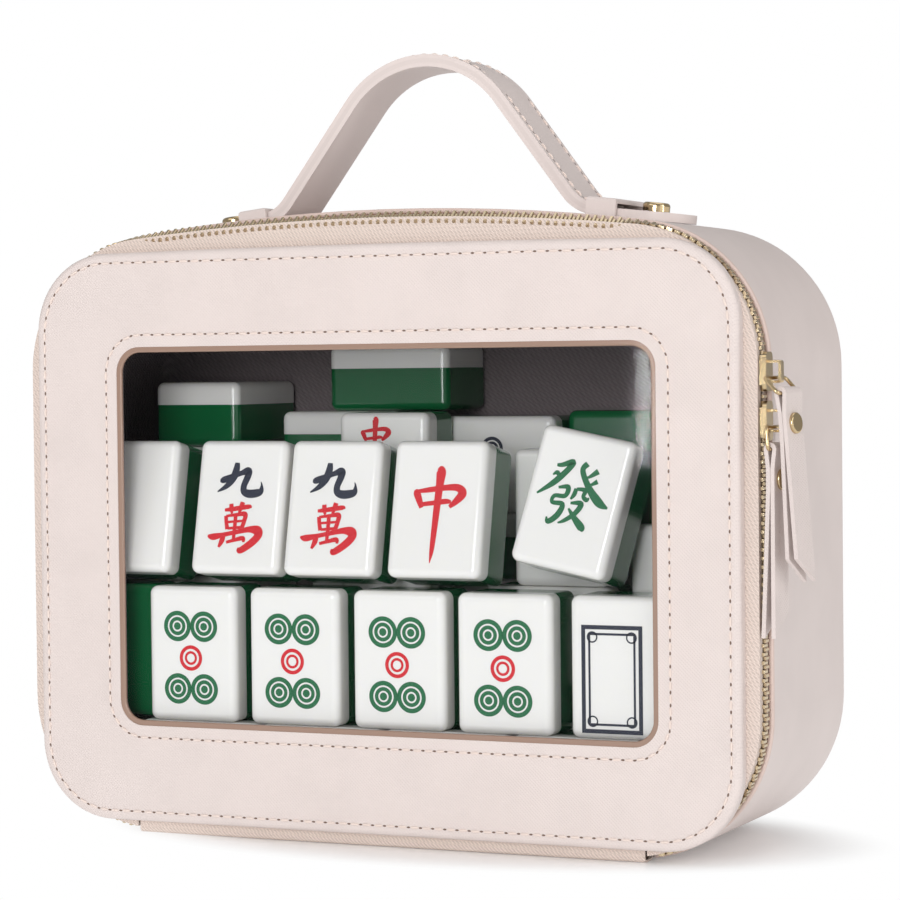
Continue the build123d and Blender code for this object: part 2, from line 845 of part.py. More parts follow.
tile_places = [
    # Front file: a hidden floor row, the lower row in the window and the leaning upper row
    *row(front_file + tape_thickness, floor_z, "sideways", *[n * standing for n in (-1.5, -0.5, 0.5, 1.5)]),
    *row(front_file, first_row_z, "upright", -56.9, -25.7, 5.5, 36.0, 68.1),
    *row(front_file + row_lean / 2, first_row_z, "reversed", -84.2),
    *[leaning(x, second_row_z) for x in (-78.0, -44.2, -15.8, 15.2)],
    leaning(54.0, second_row_z + turned_drop, dragon_turn),
    # Middle file
    *stack(middle_file, 1, *[("upright", -10.6)] * 3),
    *stack(middle_file, 1, ("upright", 17.0), ("sideways", 37.9), ("upright", 41.7)),
    *stack(middle_file, 1, ("sideways", 56.8), ("sideways", 76.0), ("sideways", 80.1)),
    # Back of the case
    *stack(back_floor_end, -1, ("edge", -64.1)),
    *stack(back_file_end, -1, *[("flat", -73.9)] * 5, base_z=floor_z + on_edge),
    *stack(back_floor_end, -1, *[("upright", -33.2)] * 2),
    *stack(back_file_end, -1, *[("lying", x) for x in (-33.2, -33.2, -17.8)], base_z=floor_z + 2 * standing),
    *stack(back_floor_end, -1, ("upright", 14.2), ("sideways", 14.2)),
    *stack(back_file_end, -1, ("lying", 14.2), base_z=floor_z + standing + on_edge),
    *stack(middle_file + laid, 1, ("sideways", 14.2), base_z=floor_z + standing + on_edge + laid),
    *stack(back_floor_end, -1, ("upright", 47.0), ("upright", 47.0), ("reversed", 47.0)),
    *stack(back_floor_end, -1, ("upright", 74.3), ("reversed", 74.3), base_z=floor_z + standing),
]

with BuildPart(mode=Mode.PRIVATE) as tile:
    Box(tile_width, tile_depth, tile_height)
    fillet(tile.edges(), tile_edge_round)
    split(bisect_by=Plane.XZ.offset(tile_depth / 2 - tile_face_layer), keep=Keep.BOTH)
layers = tile.solids().sort_by(Axis.Y)

with BuildPart() as tile_faces:
    with Locations(*tile_places):
        add(layers[0])
finish(tile_faces, "tile_faces")

with BuildPart() as tile_backs:
    with Locations(*tile_places):
        add(layers[-1])
finish(tile_backs, "tile_backs")
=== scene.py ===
"""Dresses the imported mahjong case: leatherette, stitching, clear window, printed tiles, pale studio."""

import math
import random

import bpy
from mathutils import Matrix, Vector


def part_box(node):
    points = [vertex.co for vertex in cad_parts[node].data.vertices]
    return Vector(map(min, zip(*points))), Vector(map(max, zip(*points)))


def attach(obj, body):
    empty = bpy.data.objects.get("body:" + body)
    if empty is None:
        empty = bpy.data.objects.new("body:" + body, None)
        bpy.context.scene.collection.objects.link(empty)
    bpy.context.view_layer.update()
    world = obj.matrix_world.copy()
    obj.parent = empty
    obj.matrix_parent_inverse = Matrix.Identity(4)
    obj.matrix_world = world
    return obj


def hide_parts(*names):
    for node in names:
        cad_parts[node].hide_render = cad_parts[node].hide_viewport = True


bl_info = {
    "name": "Mahjong case",
    "version": (1, 0, 0),
    "blender": (4, 5, 0),
    "location": "View3D > Sidebar > Case",
    "description": "Builds the finish of a zip-around mahjong case and its studio",
    "category": "Object",
}

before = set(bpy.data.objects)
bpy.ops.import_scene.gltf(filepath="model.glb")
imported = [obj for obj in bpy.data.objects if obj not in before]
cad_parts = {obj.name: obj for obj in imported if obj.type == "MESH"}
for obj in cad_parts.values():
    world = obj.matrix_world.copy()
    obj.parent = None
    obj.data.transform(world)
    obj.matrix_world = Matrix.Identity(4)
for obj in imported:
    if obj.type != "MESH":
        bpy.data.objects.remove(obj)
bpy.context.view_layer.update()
MM = 0.001
FRONT = -40.0 * MM

# Lid panel and window, in metres
PANEL_CORNER = 21.5 * MM
PANEL_CROWN = 1.0 * MM
WINDOW_CORNER = 7.0 * MM

# Tiles and their places behind the lid's front face, in millimetres
TILE_WIDTH, TILE_DEPTH, TILE_HEIGHT, TILE_GAP = 27.0, 18.5, 37.0, 0.1
UPRIGHT, ON_EDGE, LAID = TILE_HEIGHT + TILE_GAP, TILE_WIDTH + TILE_GAP, TILE_DEPTH + TILE_GAP
FLOOR_ROW, FRONT_FILE, MIDDLE_FILE = 4.3, 4.2, 30.35
ROW_LEAN, DRAGON_TURN = 12.0, 11.5

# Ink above a tile's face, each stroke above the one before, and the least width of a stroke, in
# millimetres
INK_LIFT, STROKE_LIFT, THINNEST = 0.03, 0.006, 0.05

# Places across the case of the tiles with marks, in millimetres
DOTS_AT, BLANK_AT = (-56.9, -25.7, 5.5, 36.0), 68.1
NINES_AT, CENTRE_AT, PROSPER_AT = (-44.2, -15.8), 15.2, 54.0
CENTRE_BACK_AT, CIRCLE_BACK_AT, CIRCLE_RIGHT_AT = -10.6, 14.2, 80.1

# Steps of the round shapes and curves
CORNER_STEPS, THREAD_SIDES, HOLE_SIDES, CURVE_STEPS = 16, 8, 10, 6

# A stitch: where its thread starts and ends as shares of its length, and how far it sways, in
# millimetres. A needle hole, drawn as a dark disc of painted shade: lift in millimetres, and its
# length as a multiple of its width.
STITCH_START, STITCH_END, STITCH_SWAY = 0.17, 0.83, 0.05
HOLE_LIFT, HOLE_STRETCH = 0.03, 1.9

# Rings along one stitch: share of its length, lift and girth as shares of the thread's radius
STITCH_RINGS = (
    (0.0, -0.35, 0.7),
    (0.18, 0.35, 1.0),
    (0.5, 0.62, 1.08),
    (0.82, 0.35, 1.0),
    (1.0, -0.35, 0.7),
)


# ---------------------------------------------------------------- settings


def colour_setting(name, description, default):
    return bpy.props.FloatVectorProperty(
        name=name, description=description, default=default, subtype="COLOR"
    )


def length_setting(name, description, millimetres):
    return bpy.props.FloatProperty(
        name=name, description=description, default=millimetres * MM, precision=6, unit="LENGTH"
    )


def angle_setting(name, description, degrees):
    return bpy.props.FloatProperty(
        name=name, description=description, default=math.radians(degrees), subtype="ANGLE"
    )


def power_setting(name, description, watts):
    return bpy.props.FloatProperty(name=name, description=description, default=watts, unit="POWER")


def place_setting(name, description, default):
    return bpy.props.FloatVectorProperty(
        name=name, description=description, default=default, precision=5, subtype="TRANSLATION"
    )


class CaseFinish(bpy.types.PropertyGroup):
    """Colours and textures of the case."""

    leather: colour_setting("Leather", "Leatherette of lid, body, handle and pulls", (0.69, 0.602, 0.573))
    piping: colour_setting("Piping", "Piped edge round the body's mouth", (0.68, 0.53, 0.475))
    tape: colour_setting("Tape", "Zipper tape and hinge strip", (0.74, 0.62, 0.555))
    lining: colour_setting("Lining", "Cloth inside the case", (0.20, 0.165, 0.17))
    gold: colour_setting("Gold", "Sliders, rings, rivets and studs", (0.60, 0.46, 0.27))
    teeth: colour_setting("Teeth", "Teeth of the zipper", (0.60, 0.49, 0.33))
    tile_face: colour_setting("Tile face", "Light layer of the tiles", (0.84, 0.822, 0.79))
    tile_back: colour_setting("Tile back", "Green layer of the tiles", (0.004, 0.115, 0.035))
    grain_pitch: length_setting("Grain pitch", "Distance between the lines of the leather's grain", 0.95)
    grain_depth: length_setting("Grain depth", "Depth of the leather's grain", 0.10)


class CaseStitching(bpy.types.PropertyGroup):
    """Sizes of the seams."""

    edge_inset: length_setting("Edge inset", "From the panel's edge to its seam", 2.7)
    edge_pitch: length_setting("Edge pitch", "Stitch length of the panel's seam", 3.5)
    window_outset: length_setting("Window outset", "From the window's binding to its seam", 3.3)
    window_pitch: length_setting("Window pitch", "Stitch length of the window's seam", 3.3)
    strap_inset: length_setting("Strap inset", "From the strap's edge to its seam", 2.2)
    strap_pitch: length_setting("Strap pitch", "Stitch length of the strap's seams", 3.3)
    thread: length_setting("Thread", "Radius of the thread", 0.3)
    hole: length_setting("Needle hole", "Half width of a needle hole", 0.26)


class CaseZipper(bpy.types.PropertyGroup):
    """How the teeth of the top run turn towards the front."""

    tip: angle_setting("Tip", "Turn of the teeth along the top", 38.0)
    row: length_setting("Row", "Middle of the chain, in depth", -32.7)
    lowest: length_setting("Lowest", "Height below which no tooth turns", 125.0)
    end: length_setting("End", "Half width at which the turn has faded out", 83.0)
    fade: length_setting("Fade", "Length over which the turn fades out", 18.0)
    forward: length_setting("Forward", "Shift of the turned teeth to the front", 1.6)
    drop: length_setting("Drop", "Shift of the turned teeth downwards", 0.45)
    cell: length_setting("Cell", "Width of the steps in which the chain's height is read", 4.0)
    swell: bpy.props.FloatProperty(name="Swell", description="Growth of the turned teeth", default=0.15)


class CaseStudio(bpy.types.PropertyGroup):
    """Camera and light."""

    eye: place_setting("Eye", "Place of the camera", (0.33537, -0.74111, 0.12702))
    target: place_setting("Target", "Place that the camera looks at", (0.02322, -0.040, 0.10612))
    roll: angle_setting("Roll", "Turn of the camera about its line of sight", -0.61)
    lens: bpy.props.FloatProperty(
        name="Lens", description="Focal length in millimetres", default=117.5, unit="CAMERA"
    )
    key: power_setting("Key", "Large light from the upper left", 2.1)
    front: power_setting("Front", "Soft light straight ahead of the lid", 8.0)
    fill: power_setting("Fill", "Soft light on the right side", 1.5)
    top: power_setting("Top", "Large light above the case", 2.6)
    glint: power_setting("Glint", "Narrow light for the metal", 1.6)
    strip: power_setting("Strip", "Thin light that shows in the film", 0.13)
    sky: bpy.props.FloatProperty(name="Sky", description="Strength of the light all round", default=0.36)


# ---------------------------------------------------------------- shader helpers


class Graph:
    """A node tree being wired."""

    def __init__(self, tree):
        self.tree = tree

    def put(self, socket, value):
        """Links a wave or an output to a socket, or sets its value."""
        if isinstance(value, Wave):
            value = value.socket
        if isinstance(value, bpy.types.NodeSocket):
            self.tree.links.new(value, socket)
        else:
            socket.default_value = value

    def node(self, kind, settings=None, sockets=None):
        """New node: its settings are set first, then its sockets get their values or links."""
        node = self.tree.nodes.new(kind)
        for name, value in (settings or {}).items():
            setattr(node, name, value)
        for name, value in (sockets or {}).items():
            self.put(node.inputs[name], value)
        return node

    def math(self, operation, *values):
        node = self.node("ShaderNodeMath", {"operation": operation}, dict(enumerate(values)))
        return Wave(self, node.outputs[0])


class Wave:
    """A shader socket with arithmetic."""

    def __init__(self, graph, socket):
        self.graph, self.socket = graph, socket

    def __add__(self, other):
        return self.graph.math("ADD", self, other)

    def __radd__(self, other):
        return self.graph.math("ADD", other, self)

    def __sub__(self, other):
        return self.graph.math("SUBTRACT", self, other)

    def __rsub__(self, other):
        return self.graph.math("SUBTRACT", other, self)

    def __mul__(self, other):
        return self.graph.math("MULTIPLY", self, other)

    def __rmul__(self, other):
        return self.graph.math("MULTIPLY", other, self)

    def __pow__(self, other):
        return self.graph.math("POWER", self, other)

    def __rpow__(self, other):
        return self.graph.math("POWER", other, self)

    def sin(self):
        return self.graph.math("SINE", self)

    def abs(self):
        return self.graph.math("ABSOLUTE", self)

    def most(self, other):
        return self.graph.math("MAXIMUM", self, other)

    def clear(self, low, high):
        """0 below low, 1 above high."""
        settings = {"interpolation_type": "SMOOTHSTEP"}
        sockets = {"Value": self, "From Min": low, "From Max": high}
        return Wave(self.graph, self.graph.node("ShaderNodeMapRange", settings, sockets).outputs[0])


class Shader(Graph):
    """A material under construction."""

    def __init__(self, name, colour, roughness, metallic=0.0, coat=0.0):
        self.material = bpy.data.materials.new(name)
        self.material.use_nodes = True
        super().__init__(self.material.node_tree)
        self.surface = self.tree.nodes["Principled BSDF"]
        self.feed("Base Color", (*colour, 1))
        self.feed("Roughness", roughness)
        self.feed("Metallic", metallic)
        self.feed("Coat Weight", coat)

    def feed(self, socket, value):
        self.put(self.surface.inputs[socket], value)

    def finish(self, shader):
        """Sends another shader to the material's surface."""
        self.put(self.tree.nodes["Material Output"].inputs["Surface"], shader)

    def place(self):
        """Coordinates in metres, as three waves."""
        at = self.node("ShaderNodeTexCoord")
        split = self.node("ShaderNodeSeparateXYZ", None, {"Vector": at.outputs["Object"]})
        return tuple(Wave(self, split.outputs[i]) for i in range(3))

    def noise(self, scale, detail=2.0):
        at = self.node("ShaderNodeTexCoord")
        sockets = {"Vector": at.outputs["Object"], "Scale": scale, "Detail": detail}
        return Wave(self, self.node("ShaderNodeTexNoise", None, sockets).outputs["Fac"])

    def ramp(self, wave, low, high):
        """Colour between two colours."""
        sockets = {0: wave, 6: (*low, 1), 7: (*high, 1)}
        return self.node("ShaderNodeMix", {"data_type": "RGBA"}, sockets).outputs[2]

    def relief(self, wave, distance, strength):
        """Normal of a surface raised by a wave."""
        sockets = {"Height": wave, "Strength": strength, "Distance": distance}
        return self.node("ShaderNodeBump", None, sockets).outputs[0]

    def bump(self, wave, distance, strength):
        self.feed("Normal", self.relief(wave, distance, strength))


def leather(name, colour, finish):
    """Leatherette with a cross-hatched grain."""
    s = Shader(name, colour, 0.52)
    x, y, z = s.place()
    turn = math.pi / finish.grain_pitch
    wobble = s.noise(700.0) * 0.9
    lines = [(x + y + z) * turn, (x - y - z) * turn, (x - y + z) * turn]
    ridges = [((line + wobble).sin().abs()) ** 1.6 for line in lines]
    height = ridges[0].most(ridges[1]).most(ridges[2])
    fine = s.noise(5200.0) * 0.35
    s.bump(height + fine, finish.grain_depth, 0.85)
    tone = (height * 0.35 + s.noise(90.0) * 0.65).clear(0.2, 0.8)
    s.feed("Base Color", s.ramp(tone, tuple(c * 0.92 for c in colour), colour))
    return s.material


def smooth_leather(name, colour):
    """Leatherette with a fine pebble."""
    s = Shader(name, colour, 0.5)
    pebble = s.noise(2600.0, 3.0)
    s.bump(pebble + s.noise(240.0) * 0.6, 0.05 * MM, 0.55)
    s.feed("Base Color", s.ramp(s.noise(60.0).clear(0.3, 0.7), tuple(c * 0.965 for c in colour), colour))
    return s.material


def weave(name, colour, pitch):
    """Woven tape or cloth."""
    s = Shader(name, colour, 0.85)
    x, y, z = s.place()
    turn = math.pi / pitch
    rib = ((x + z) * turn).sin() * ((y + z * 0.5) * turn).sin()
    s.bump(rib + s.noise(1500.0) * 0.8, 0.12 * MM, 0.8)
    s.feed("Base Color", s.ramp(rib.clear(-0.6, 0.6), tuple(c * 0.82 for c in colour), colour))
    return s.material


def metal(name, colour, roughness):
    s = Shader(name, colour, roughness, metallic=1.0)
    s.feed("Roughness", s.noise(900.0) * 0.12 + (roughness - 0.06))
    return s.material


def plastic(name, colour, roughness, soft=0.0):
    """Cast tile plastic."""
    s = Shader(name, colour, roughness, coat=0.25)
    s.feed("Subsurface Weight", soft)
    s.feed("Subsurface Radius", (0.004, 0.004, 0.003))
    s.feed("Subsurface Scale", 1.0)
    s.feed("Coat Roughness", 0.08)
    s.feed("Roughness", s.noise(120.0) * 0.05 + (roughness - 0.02))
    return s.material


def plain(name, colour, roughness=0.6):
    s = Shader(name, colour, roughness)
    s.feed("Roughness", s.noise(800.0) * 0.1 + (roughness - 0.05))
    return s.material


def clear_sheet(name):
    """Clear film: see-through face on, mirror-like at a grazing angle, and see-through from inside."""
    s = Shader(name, (1, 1, 1), 0.05)
    through = s.node("ShaderNodeBsdfTransparent", None, {"Color": (0.97, 0.975, 0.98, 1)})
    ripple = s.relief(s.noise(14.0), 0.4 * MM, 0.25)
    gloss = s.node("ShaderNodeBsdfGlossy", None, {"Normal": ripple, "Roughness": 0.04})
    fresnel = s.node("ShaderNodeFresnel", None, {"Normal": ripple, "IOR": 1.2})
    inside = Wave(s, s.node("ShaderNodeNewGeometry").outputs["Backfacing"])
    share = Wave(s, fresnel.outputs[0]) * (1.0 - inside)
    mix = s.node("ShaderNodeMixShader", None, {"Fac": share, 1: through.outputs[0], 2: gloss.outputs[0]})
    s.finish(mix.outputs[0])
    return s.material


# ---------------------------------------------------------------- shapes


def once(name, make, *looks):
    """The material of that name, made on its first use."""
    return bpy.data.materials.get(name) or make(name, *looks)


def side_leather(finish):
    return once("side leatherette", smooth_leather, tuple(finish.leather))


def grained_leather(finish):
    return once("cross-grained leatherette", leather, tuple(finish.leather), finish)


def pale_gold(finish):
    return once("pale gold", metal, tuple(finish.gold), 0.17)


def strap_edge(finish):
    return once("strap edge", plain, tuple(c * 0.93 for c in finish.leather))


def wear(material, *nodes):
    """Gives a material to CAD nodes."""
    for name in nodes:
        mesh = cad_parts[name].data
        mesh.materials.clear()
        mesh.materials.append(material)


def mesh_object(name, verts, faces, material, body, smooth=False):
    """Mesh in the coordinates of the frame that rides on a body."""
    mesh = bpy.data.meshes.new(name)
    mesh.from_pydata([tuple(v) for v in verts], [], faces)
    mesh.materials.append(material)
    mesh.polygons.foreach_set("use_smooth", [smooth] * len(faces))
    mesh.update()
    obj = bpy.data.objects.new(name, mesh)
    bpy.context.collection.objects.link(obj)
    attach(obj, body)


def rounded_loop(cx, cz, width, height, radius):
    """Points round a rounded rectangle in XZ."""
    points = []
    hx, hz = width / 2 - radius, height / 2 - radius
    for quarter, (sx, sz) in enumerate(((1, 1), (-1, 1), (-1, -1), (1, -1))):
        for k in range(CORNER_STEPS + 1):
            a = math.pi / 2 * (quarter + k / CORNER_STEPS)
            points.append((cx + sx * hx + radius * math.cos(a), cz + sz * hz + radius * math.sin(a)))
    points.append(points[0])
    return points


def walk(points, pitch):
    """Even (start, end) pairs along a line of points, each about one pitch long."""
    pts = [Vector(p) for p in points]
    lengths = [0.0]
    for a, b in zip(pts, pts[1:]):
        lengths.append(lengths[-1] + (b - a).length)
    count = max(1, round(lengths[-1] / pitch))
    out, i = [], 0
    for k in range(count + 1):
        at = lengths[-1] * k / count
        while i < len(lengths) - 2 and lengths[i + 1] < at:
            i += 1
        span = max(lengths[i + 1] - lengths[i], 1e-9)
        out.append(pts[i].lerp(pts[i + 1], (at - lengths[i]) / span))
    return list(zip(out, out[1:]))


def seam(name, points, normals, pitch, body, thread, hole, sizes):
    """Lock stitches along a line that lies on a surface, with a dark disc of painted shade at the needle
    hole between them.
    """
    verts, faces, hole_shade_verts, hole_shade_faces = [], [], [], []
    rng = random.Random(7)
    for a, b in walk(points, pitch):
        n = Vector(normals((a + b) / 2)).normalized()
        along = (b - a).normalized()
        side = along.cross(n)
        start, end = a.lerp(b, STITCH_START), a.lerp(b, STITCH_END)
        sway = side * rng.uniform(-STITCH_SWAY, STITCH_SWAY) * MM
        rings = []
        for share, lift, girth in STITCH_RINGS:
            centre = start.lerp(end, share) + n * lift * sizes.thread + sway
            base = len(verts)
            for k in range(THREAD_SIDES):
                t = 2 * math.pi * k / THREAD_SIDES
                verts.append(centre + (side * math.cos(t) + n * math.sin(t)) * sizes.thread * girth)
            rings.append(base)
        for p, q in zip(rings, rings[1:]):
            for k in range(THREAD_SIDES):
                after = (k + 1) % THREAD_SIDES
                faces.append((p + k, p + after, q + after, q + k))
        # Needle hole: a flat dark disc just above the leather, the painted shade of the hole
        base = len(hole_shade_verts)
        for k in range(HOLE_SIDES):
            t = 2 * math.pi * k / HOLE_SIDES
            rim = along * math.cos(t) * HOLE_STRETCH + side * math.sin(t)
            hole_shade_verts.append(a + n * HOLE_LIFT * MM + rim * sizes.hole)
        hole_shade_faces.append(tuple(range(base, base + HOLE_SIDES)))
    mesh_object(name, verts, faces, thread, body, smooth=True)
    mesh_object(name + "_hole_shades", hole_shade_verts, hole_shade_faces, hole, body)


def ribbon(strokes):
    """Brush strokes as flat ribbons, each given as (across, up, width) points in millimetres."""
    verts, faces = [], []
    for layer, stroke in enumerate(strokes):
        pts = [Vector((u, v, w)) for u, v, w in stroke]
        fine = []
        for i in range(len(pts) - 1):
            p0, p1, p2, p3 = pts[max(i - 1, 0)], pts[i], pts[i + 1], pts[min(i + 2, len(pts) - 1)]
            for k in range(CURVE_STEPS):
                t = k / CURVE_STEPS
                fine.append(
                    0.5
                    * (
                        2 * p1
                        + (p2 - p0) * t
                        + (2 * p0 - 5 * p1 + 4 * p2 - p3) * t * t
                        + (3 * p1 - p0 - 3 * p2 + p3) * t**3
                    )
                )
        fine.append(pts[-1])
        base = len(verts)
        for i, p in enumerate(fine):
            d = fine[min(i + 1, len(fine) - 1)] - fine[max(i - 1, 0)]
            d = Vector((d.x, d.y)).normalized()
            across = Vector((-d.y, d.x)) * max(p.z, THINNEST) / 2
            verts.append((p.x + across.x, p.y + across.y, layer))
            verts.append((p.x - across.x, p.y - across.y, layer))
        for i in range(len(fine) - 1):
            k = base + 2 * i
            faces.append((k, k + 1, k + 3, k + 2))
    return verts, faces


def ring(cx, cz, outer, inner, sides=40):
    """Flat ring, or a disc for inner 0."""
    verts, faces = [], []
    for k in range(sides):
        a = 2 * math.pi * k / sides
        verts.append((cx + outer * math.cos(a), cz + outer * math.sin(a), 0))
        verts.append((cx + inner * math.cos(a), cz + inner * math.sin(a), 0))
    for k in range(sides):
        p, q = 2 * k, 2 * ((k + 1) % sides)
        faces.append((p, q, q + 1, p + 1))
    return verts, faces


def printed(name, marks, matrix, material):
    """Inked marks a hair in front of a tile's face."""
    verts, faces = [], []
    for mark_verts, mark_faces in marks:
        base = len(verts)
        for u, v, layer in mark_verts:
            verts.append(matrix @ Vector((u * MM, -(INK_LIFT + STROKE_LIFT * layer) * MM, v * MM)))
        faces += [tuple(base + i for i in f) for f in mark_faces]
    mesh_object(name, verts, faces, material, "case")


# ---------------------------------------------------------------- tile marks

NINE = [
    [(-0.9, 6.9, 0.9), (-1.0, 5.2, 1.3), (-1.7, 3.0, 1.4), (-3.4, 0.9, 1.0), (-5.9, -0.6, 0.25)],
    [
        (-5.4, 2.3, 0.5), (-4.2, 2.5, 1.2), (0.2, 4.1, 0.9), (2.3, 4.7, 1.5), (2.4, 3.4, 1.3),
        (1.5, 0.9, 1.2), (1.8, -0.6, 1.3), (3.6, -1.1, 1.5), (6.2, -0.6, 1.3), (6.6, 0.9, 0.5),
        (6.3, 2.0, 0.15),
    ],
]
MYRIAD = [
    [(-3.6, 6.6, 0.6), (-1.0, 6.9, 0.9), (3.9, 7.6, 0.9), (4.4, 7.2, 0.3)],
    [(-1.7, 8.4, 0.9), (-1.5, 6.8, 0.9), (-1.2, 5.6, 0.4)],
    [(1.9, 8.9, 1.0), (1.4, 7.1, 0.9), (0.9, 5.7, 0.4)],
    [(-3.0, 5.0, 0.9), (-2.8, 3.2, 0.8), (-2.3, 1.2, 0.9)],
    [(-3.0, 4.9, 0.5), (0.2, 5.3, 0.7), (2.9, 5.5, 1.0), (2.8, 3.6, 0.9), (2.2, 1.6, 0.9)],
    [(-2.5, 3.2, 0.5), (0.0, 3.4, 0.5), (2.5, 3.6, 0.5)],
    [(-2.2, 1.4, 0.5), (0.0, 1.6, 0.6), (2.2, 1.8, 0.6)],
    [(0.0, 5.2, 0.8), (0.0, 2.6, 0.8), (-0.1, -2.2, 0.7)],
    [
        (-8.3, -0.7, 0.4), (-6.6, -1.0, 1.3), (-3.4, -0.4, 0.9), (0.6, 0.4, 0.9), (4.6, 1.2, 1.2),
        (7.1, 0.9, 1.9), (7.6, -0.4, 1.6), (5.6, -2.6, 1.5), (2.2, -4.8, 1.2), (1.6, -3.9, 0.3),
    ],
    [(-3.4, -0.3, 1.0), (-3.7, -2.0, 1.1), (-4.6, -3.9, 0.5)],
    [(-2.3, -2.5, 0.6), (0.0, -1.9, 0.7), (2.8, -1.3, 0.9), (3.1, -2.4, 0.5)],
]
CENTRE = [
    [
        (1.1, 12.4, 0.8), (1.9, 11.2, 2.1), (1.7, 7.0, 1.7), (1.3, 0.0, 1.5), (1.0, -6.0, 1.3),
        (0.7, -11.5, 1.0), (0.3, -15.2, 0.15),
    ],
    [(-5.8, 5.9, 0.6), (-5.3, 5.1, 1.5), (-4.3, 2.8, 1.4), (-3.5, 0.7, 0.9)],
    [
        (-5.3, 5.4, 0.7), (-1.5, 5.9, 1.1), (3.0, 6.5, 1.2), (7.3, 6.6, 1.5), (9.0, 5.0, 1.9),
        (7.4, 2.9, 1.5), (5.2, 1.0, 0.8),
    ],
    [(-3.6, 1.7, 0.9), (0.0, 2.1, 1.0), (4.0, 2.6, 1.1), (5.6, 2.4, 0.6)],
]
PROSPER = [
    [
        (-5.9, 9.4, 0.6), (-4.4, 9.7, 0.9), (-1.6, 11.0, 1.2), (-2.6, 8.6, 1.2), (-5.6, 4.6, 1.2),
        (-9.6, 0.9, 0.4),
    ],
    [(-6.4, 6.6, 0.3), (-5.3, 7.4, 0.9), (-4.2, 6.2, 0.6)],
    [(2.6, 11.4, 1.2), (1.7, 9.3, 1.1), (4.6, 5.2, 1.3), (8.4, 1.9, 1.7), (11.2, 0.9, 0.4)],
    [(6.1, 10.0, 1.2), (4.3, 8.3, 0.7), (3.0, 7.4, 0.3)],
    [(6.6, 7.3, 1.0), (5.2, 6.2, 0.6), (4.4, 5.7, 0.3)],
    [
        (-3.9, 3.6, 0.5), (-1.2, 4.2, 1.0), (-1.4, 1.8, 0.9), (-4.4, 1.2, 0.8), (-4.6, -0.6, 0.8),
        (-1.6, -0.6, 1.0), (-2.2, -3.6, 1.2), (-4.4, -5.9, 1.0), (-5.2, -4.7, 0.3),
    ],
    [(1.2, 4.3, 0.8), (1.0, 2.6, 0.9), (0.3, 1.2, 0.4)],
    [(1.3, 4.2, 0.6), (3.8, 4.3, 0.9), (3.7, 2.6, 0.8), (4.8, 1.9, 0.9), (5.4, 2.6, 0.3)],
    [(0.6, 0.2, 0.5), (3.6, 0.6, 1.1), (2.6, -2.2, 1.0), (0.2, -4.6, 0.8), (-1.6, -5.7, 0.3)],
    [(0.4, -1.3, 0.4), (2.6, -3.4, 1.1), (5.3, -5.6, 1.5), (5.8, -6.6, 0.3)],
]


def moved(strokes, scale, du, dv, fat):
    """Strokes scaled about the origin, shifted and thickened."""
    return [[(u * scale + du, v * scale + dv, w * scale * fat) for u, v, w in s] for s in strokes]


def dot(cx, cz, radius):
    """Ringed dot."""
    bands = ((1.0, 0.71), (0.6, 0.36), (0.25, 0.0))
    return [ring(cx, cz, radius * outer, radius * inner) for outer, inner in bands]


def frame_mark(width, height, line):
    """Rectangular outline."""
    out, inn = (width / 2, height / 2), (width / 2 - line, height / 2 - line)
    verts = []
    for sx, sz in ((1, 1), (-1, 1), (-1, -1), (1, -1)):
        verts += [(sx * out[0], sz * out[1], 0), (sx * inn[0], sz * inn[1], 0)]
    return verts, [(2 * k, (2 * k + 2) % 8, (2 * k + 3) % 8, 2 * k + 1) for k in range(4)]


def standing(x, depth, base):
    """Face of a tile that stands upright."""
    return Matrix.Translation((x * MM, FRONT + depth * MM, (base + TILE_HEIGHT / 2) * MM))


def sideways(x, depth, base):
    """Face of a tile that stands on its long edge."""
    return Matrix.Translation((x * MM, FRONT + depth * MM, (base + TILE_WIDTH / 2) * MM))


def leaning(x, base, turn=0.0):
    """Face of a tile that leans back on its back edge."""
    half_depth, half_height = TILE_DEPTH / 2 * MM, TILE_HEIGHT / 2 * MM
    edge = Matrix.Translation((x * MM, FRONT + (FRONT_FILE + TILE_DEPTH) * MM, base * MM))
    tip = Matrix.Rotation(math.radians(-ROW_LEAN), 4, "X")
    centre = Matrix.Translation((0, -half_depth, half_height)) @ Matrix.Rotation(math.radians(turn), 4, "Y")
    return edge @ tip @ centre @ Matrix.Translation((0, -half_depth, 0))


# ---------------------------------------------------------------- operators


class CASE_OT_shell(bpy.types.Operator):
    """Cover the lid and the body in leatherette and line them"""

    bl_idname = "case.shell"
    bl_label = "Lid and body"

    def execute(self, context):
        f = context.scene.case_finish
        wear(grained_leather(f), "panel_skin")
        wear(side_leather(f), "body_skin")
        wear(strap_edge(f), "body_foam")
        wear(plain("board", (0.45, 0.40, 0.34)), "body_board", "panel_board")
        wear(weave("lining", tuple(f.lining), 0.8 * MM), "body_lining", "panel_lining")
        wear(smooth_leather("piping", tuple(f.piping)), "body_piping")
        return {"FINISHED"}


class CASE_OT_window(bpy.types.Operator):
    """Fit the clear film and its binding"""

    bl_idname = "case.window"
    bl_label = "Window"

    def execute(self, context):
        wear(plastic("window binding", (0.30, 0.19, 0.14), 0.3), "window_binding")
        wear(clear_sheet("clear film"), "window_sheet")
        return {"FINISHED"}


class CASE_OT_handle(bpy.types.Operator):
    """Finish the handle with its tabs, keepers and studs"""

    bl_idname = "case.handle"
    bl_label = "Handle"

    def execute(self, context):
        f = context.scene.case_finish
        wear(side_leather(f), "handle_strap", "handle_lining", "left_handle_tab", "right_handle_tab")
        wear(side_leather(f), "left_keeper", "right_keeper")
        wear(strap_edge(f), "handle_core")
        wear(pale_gold(f), "left_stud", "right_stud")
        wear(metal("steel", (0.6, 0.6, 0.6), 0.3), "stud_washers", "stud_screws")
        return {"FINISHED"}


